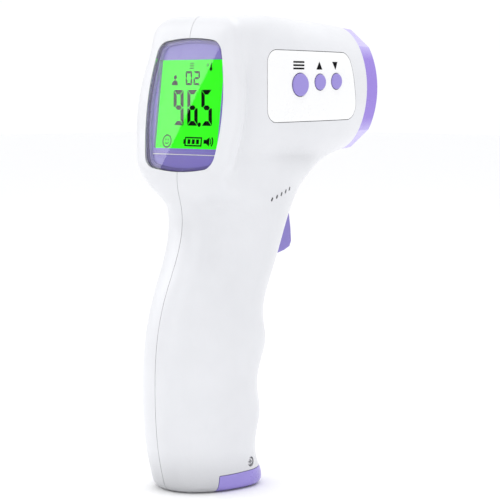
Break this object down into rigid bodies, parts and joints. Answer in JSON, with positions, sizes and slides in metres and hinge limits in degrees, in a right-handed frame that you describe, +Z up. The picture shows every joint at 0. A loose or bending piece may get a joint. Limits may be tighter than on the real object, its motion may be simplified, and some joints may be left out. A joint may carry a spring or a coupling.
{
  "type": "digital thermometer",
  "caption": "Pistol-grip infrared thermometer: two-part shell, lit display, side key panel, sprung trigger, sensor nose ring and sliding battery door.",
  "frame": {"origin": "centre of the flat base under the grip, on the parting plane", "axes": "+Z up the grip, +Y forward to the sensor nose, +X to the side with the key panel"},
  "size_m": [0.0492, 0.0906, 0.1531],
  "materials": {
    "white_shell": "satin moulded",
    "lilac_plastic": "satin moulded",
    "bezel_plastic": "satin moulded",
    "panel_white": "satin printed",
    "clear_lens": "polished clear",
    "gasket": "matte foam",
    "lcd": "lit display glass",
    "light_guide": "frosted",
    "elastomer": "matte",
    "circuit_board": "solder mask",
    "black_chip": "matte",
    "steel": "brushed",
    "spring_steel": "bright",
    "brass": "turned",
    "dark_plastic": "fine grain",
    "switch_plastic": "matte",
    "plunger_plastic": "matte",
    "ribbon": "film",
    "frame_plastic": "matte",
    "cell_can": "foil sleeve",
    "red_wire": "PVC",
    "black_wire": "PVC",
    "grey_wire": "PVC",
    "filter_glass": "coated filter"
  },
  "bodies": {
    "body": {"left_casing": "white_shell", "right_casing": "white_shell", "casing_screws": "steel", "nose_ring": "lilac_plastic", "nose_cone": "dark_plastic", "sensor_barrel": "brass", "thermopile_can": "spring_steel", "thermopile_window": "filter_glass", "sensor_board": "circuit_board", "sensor_bulkhead": "frame_plastic", "display_lens": "clear_lens", "lens_gasket": "gasket", "display_bezel": "bezel_plastic", "lcd_glass": "lcd", "backlight_plate": "light_guide", "zebra_strip": "elastomer", "main_board": "circuit_board", "processor_chip": "black_chip", "memory_chip": "black_chip", "crystal_can": "steel", "ribbon_socket": "plunger_plastic", "board_screws": "steel", "control_panel": "panel_white", "set_switch": "switch_plastic", "up_switch": "switch_plastic", "down_switch": "switch_plastic", "key_board": "circuit_board", "keypad_ribbon": "ribbon", "trigger_pin": "steel", "trigger_spring": "spring_steel", "trigger_switch": "switch_plastic", "switch_board": "circuit_board", "speaker": "black_chip", "battery_tray": "frame_plastic", "battery_cell_left": "cell_can", "battery_cell_right": "cell_can", "contact_plus": "spring_steel", "contact_spring": "spring_steel", "door_lock_screw": "steel", "lock_insert": "brass", "battery_lead_plus": "red_wire", "battery_lead_minus": "black_wire", "speaker_lead": "grey_wire", "switch_lead": "grey_wire", "sensor_cable": "grey_wire"},
    "trigger": {"trigger": "lilac_plastic"},
    "switch_plunger": {"switch_plunger": "plunger_plastic"},
    "set_button": {"set_button": "lilac_plastic", "set_plunger": "plunger_plastic"},
    "up_button": {"up_button": "lilac_plastic", "up_plunger": "plunger_plastic"},
    "down_button": {"down_button": "lilac_plastic", "down_plunger": "plunger_plastic"},
    "battery_door": {"battery_door": "lilac_plastic", "door_contact": "spring_steel"}
  },
  "joints": [
    {"name": "trigger_pull", "type": "hinge", "parent": "body", "child": "trigger", "pos_m": [0, 0.0278, 0.0863], "axis": [-1, 0, 0], "range_deg": [0, 8], "stiffness_Nm_per_rad": 0.25, "springref_deg": -11.46},
    {"name": "switch_travel", "type": "slide", "parent": "body", "child": "switch_plunger", "axis": [0, -1, 0], "range_m": [0, 0.00125]},
    {"name": "set_press", "type": "slide", "parent": "body", "child": "set_button", "axis": [-1, 0, 0], "range_m": [0, 0.0006], "stiffness_N_per_m": 900, "springref_m": -0.0004},
    {"name": "up_press", "type": "slide", "parent": "body", "child": "up_button", "axis": [-1, 0, 0], "range_m": [0, 0.0006], "stiffness_N_per_m": 900, "springref_m": -0.0004},
    {"name": "down_press", "type": "slide", "parent": "body", "child": "down_button", "axis": [-1, 0, 0], "range_m": [0, 0.0006], "stiffness_N_per_m": 900, "springref_m": -0.0004},
    {"name": "door_slide", "type": "slide", "parent": "body", "child": "battery_door", "axis": [0, 0, -1], "range_m": [0, 0.014]}
  ],
  "couplings": [
    {"joint": "switch_travel", "follows": "trigger_pull", "m_per_rad": 0.0088}
  ]
}
